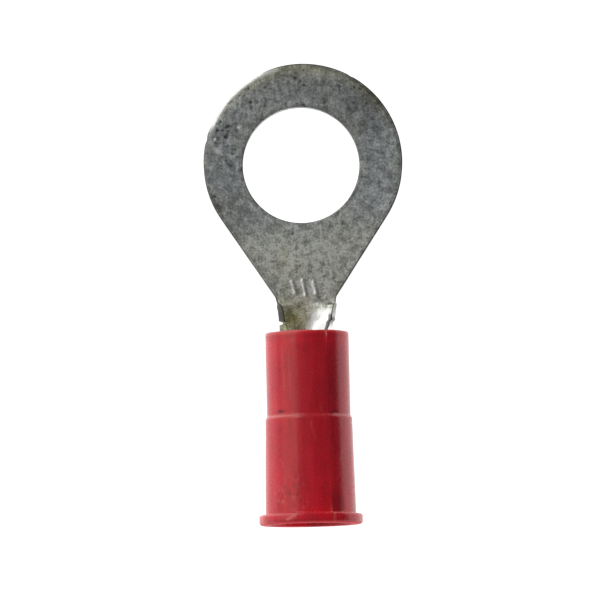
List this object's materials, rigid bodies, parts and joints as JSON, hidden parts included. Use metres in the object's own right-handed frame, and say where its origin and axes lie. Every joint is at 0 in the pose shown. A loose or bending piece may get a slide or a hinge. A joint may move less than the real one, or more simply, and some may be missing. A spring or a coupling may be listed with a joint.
{
  "type": "insulated ring terminal",
  "caption": "Crimp ring terminal: a flat metal ring with a tapered neck that rolls into a seamed barrel, in a flanged red vinyl sleeve.",
  "frame": {"origin": "centre of the stud hole on the underside of the tongue, which is the face bolted down", "axes": "+Y from the barrel to the tip of the ring, along the length; +Z along the stud hole, up to the side with the barrel's seam; the wire goes in at the -Y end"},
  "size_m": [0.0114, 0.0266, 0.006],
  "materials": {
    "tinned_copper": "dull tin plate over copper, mottled and lightly scuffed",
    "red_vinyl": "moulded red vinyl with a soft shine"
  },
  "bodies": {
    "root": {"terminal": "tinned_copper", "sleeve": "red_vinyl"}
  },
  "joints": []
}
